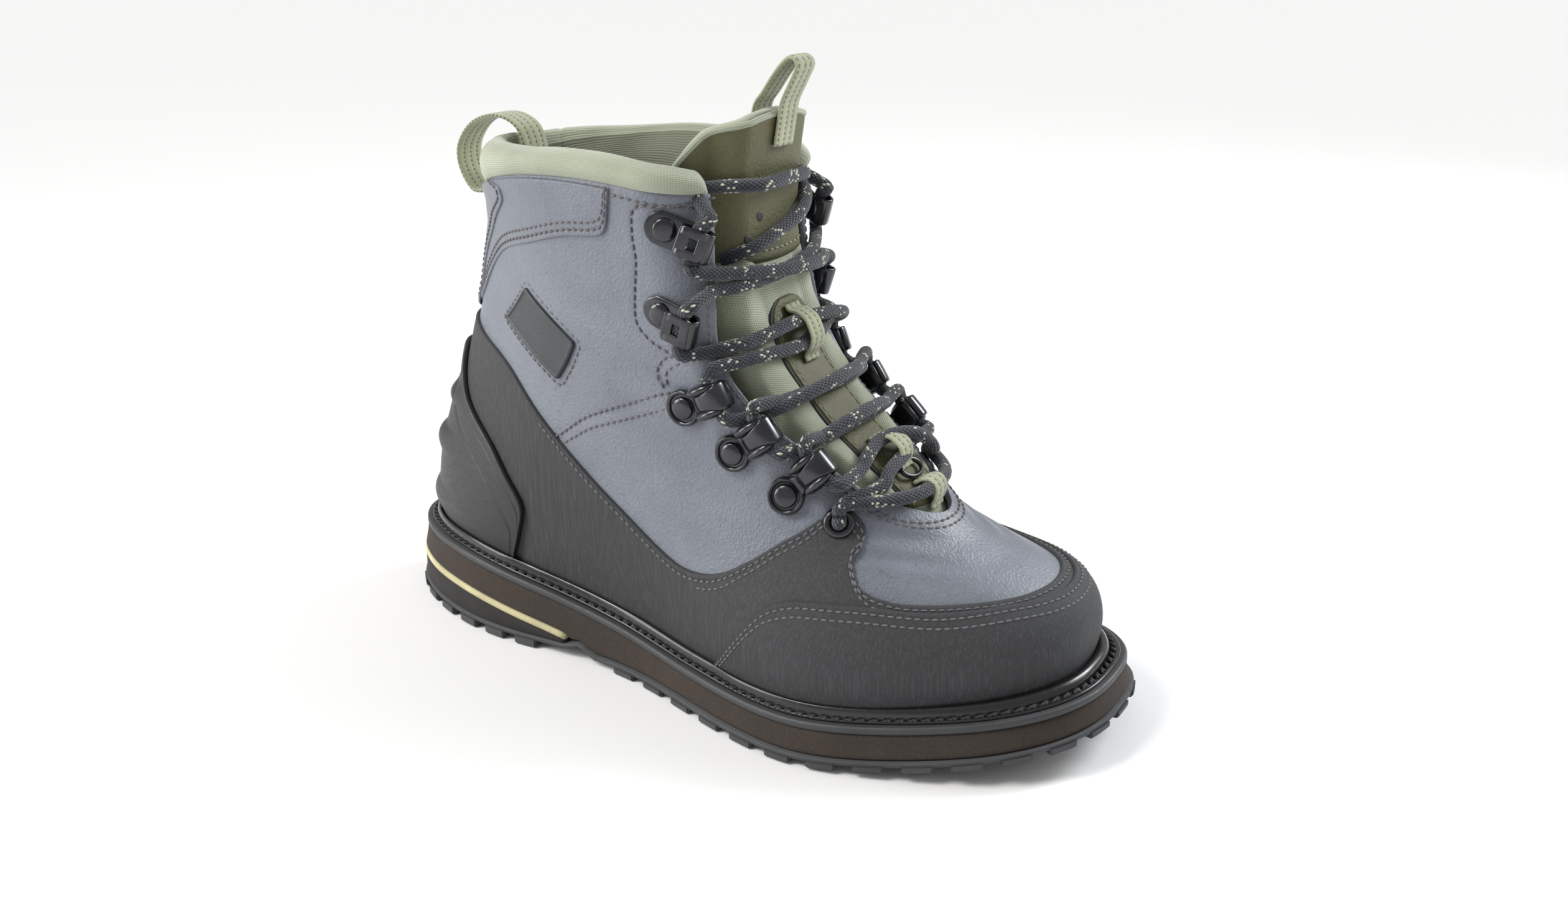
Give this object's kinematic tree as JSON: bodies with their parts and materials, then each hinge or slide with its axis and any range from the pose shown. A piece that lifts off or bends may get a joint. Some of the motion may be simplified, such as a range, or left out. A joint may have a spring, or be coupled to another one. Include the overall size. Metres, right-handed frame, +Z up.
{
  "type": "wading boot",
  "caption": "Right ankle-high wading boot with a hollow upper, rubber rand and toe cap, padded collar and tongue, lace hooks and a lugged rubber sole.",
  "frame": {"origin": "on the floor below the middle of the boot's bounding box", "axes": "+X from the heel to the toe, +Y to the inner side of the foot, +Z up"},
  "size_m": [0.3262, 0.133, 0.2421],
  "materials": {
    "outsole": "matt moulded rubber, dark grey",
    "midsole": "matt foam, dark brown with fine speckles",
    "stripe": "matt foam, khaki",
    "wedge": "matt foam, near black",
    "slip_sole": "matt rubber, dark grey",
    "welt": "satin moulded bead with a stitched groove",
    "insole": "fine knit over foam",
    "upper": "fine grained synthetic leather, slate blue grey",
    "rand": "brushed rubberised sheet, charcoal",
    "counter": "smooth moulded satin plastic",
    "collar": "ribbed sage knit over padding",
    "badge": "satin moulded plate, bare",
    "tongue": "sage knit over padding",
    "olive": "grained synthetic leather, olive",
    "webbing": "woven tape, sage",
    "hook": "gunmetal black, semi gloss",
    "lace": "round braid, dark navy with pale flecks"
  },
  "bodies": {
    "root": {"outsole": "outsole", "midsole": "midsole", "heel_stripe": "stripe", "heel_wedge": "wedge", "slip_sole": "slip_sole", "insole": "insole", "upper": "upper", "rand": "rand", "toe_cap": "rand", "heel_counter": "counter", "heel_patch": "upper", "welt": "welt", "collar_pad": "collar", "tongue": "tongue", "tongue_panel": "olive", "tongue_strip": "olive", "keeper_low": "webbing", "keeper_middle": "webbing", "keeper_high": "webbing", "back_loop": "webbing", "tongue_loop": "webbing", "badge_plate": "badge", "hook_outer_1": "hook", "hook_outer_2": "hook", "hook_outer_3": "hook", "hook_outer_4": "hook", "hook_outer_5": "hook", "eyelet_outer": "hook", "hook_inner_1": "hook", "hook_inner_2": "hook", "hook_inner_3": "hook", "hook_inner_4": "hook", "hook_inner_5": "hook", "eyelet_inner": "hook", "lace_bar": "lace", "lace_cross_1": "lace", "lace_cross_2": "lace", "lace_cross_3": "lace", "lace_cross_4": "lace", "lace_cross_5": "lace"}
  },
  "joints": []
}
